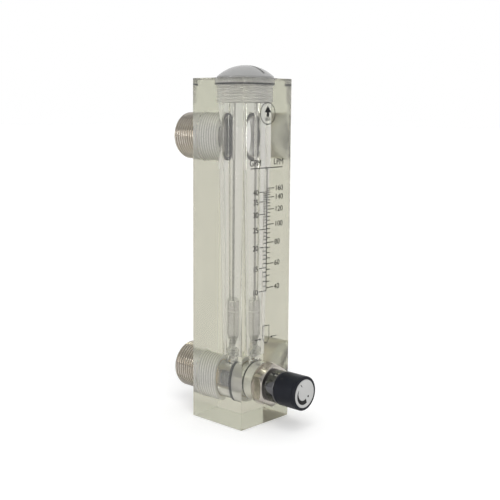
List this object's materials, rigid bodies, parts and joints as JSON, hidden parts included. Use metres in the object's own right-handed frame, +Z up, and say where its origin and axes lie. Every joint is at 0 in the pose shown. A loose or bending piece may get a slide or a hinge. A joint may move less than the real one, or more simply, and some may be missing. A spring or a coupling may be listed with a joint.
{
  "type": "rotameter",
  "caption": "Clear acrylic block rotameter with a guided float in a tapered bore, threaded rear ports and a front flow control valve.",
  "frame": {"origin": "centre of the block's base face", "axes": "+Z up along the block and the metering bore, +Y out of the rear ports, -Y out of the scale face and the valve knob"},
  "size_m": [0.0474, 0.1113, 0.2459],
  "materials": {
    "clear_acrylic": "polished",
    "smoke_plastic": "gloss",
    "clear_plastic": "gloss",
    "white_plastic": "satin",
    "black_plastic": "satin",
    "black_rubber": "matte",
    "stainless_steel": "satin",
    "dark_steel": "satin",
    "nickel_plate": "gloss",
    "polished_chrome": "polished",
    "brass": "satin",
    "silver_disc": "satin"
  },
  "bodies": {
    "housing": {"body_block": "clear_acrylic", "top_plug": "smoke_plastic", "top_plug_seal": "black_rubber", "guide_rod": "stainless_steel", "upper_float_stop": "stainless_steel", "lower_float_stop": "white_plastic", "rod_support": "clear_plastic", "rod_nut": "stainless_steel", "outlet_port": "nickel_plate", "outlet_port_seal": "black_rubber", "inlet_port": "nickel_plate", "inlet_port_seal": "black_rubber", "valve_seat_ring": "brass", "valve_bonnet": "nickel_plate", "bonnet_seal": "black_rubber", "stem_packing": "white_plastic", "gland_nut": "polished_chrome"},
    "float_unit": {"float": "stainless_steel"},
    "plunger_unit": {"valve_plunger": "black_plastic", "plunger_seal": "black_rubber", "plunger_washer": "brass", "plunger_screw": "brass"},
    "knob_unit": {"valve_stem": "stainless_steel", "knob": "black_plastic", "knob_disc": "silver_disc", "knob_set_screw": "dark_steel"}
  },
  "joints": [
    {"name": "float_travel", "type": "slide", "parent": "housing", "child": "float_unit", "axis": [0, 0, 1], "range_m": [0, 0.096]},
    {"name": "valve_travel", "type": "slide", "parent": "housing", "child": "plunger_unit", "axis": [0, -1, 0], "range_m": [0, 0.006]},
    {"name": "knob_turn", "type": "hinge", "parent": "plunger_unit", "child": "knob_unit", "pos_m": [0, -0.05, 0.0285], "axis": [0, -1, 0], "range_deg": [0, 1440]}
  ],
  "couplings": [
    {"joint": "knob_turn", "follows": "valve_travel", "rad_per_m": 4188.8}
  ]
}
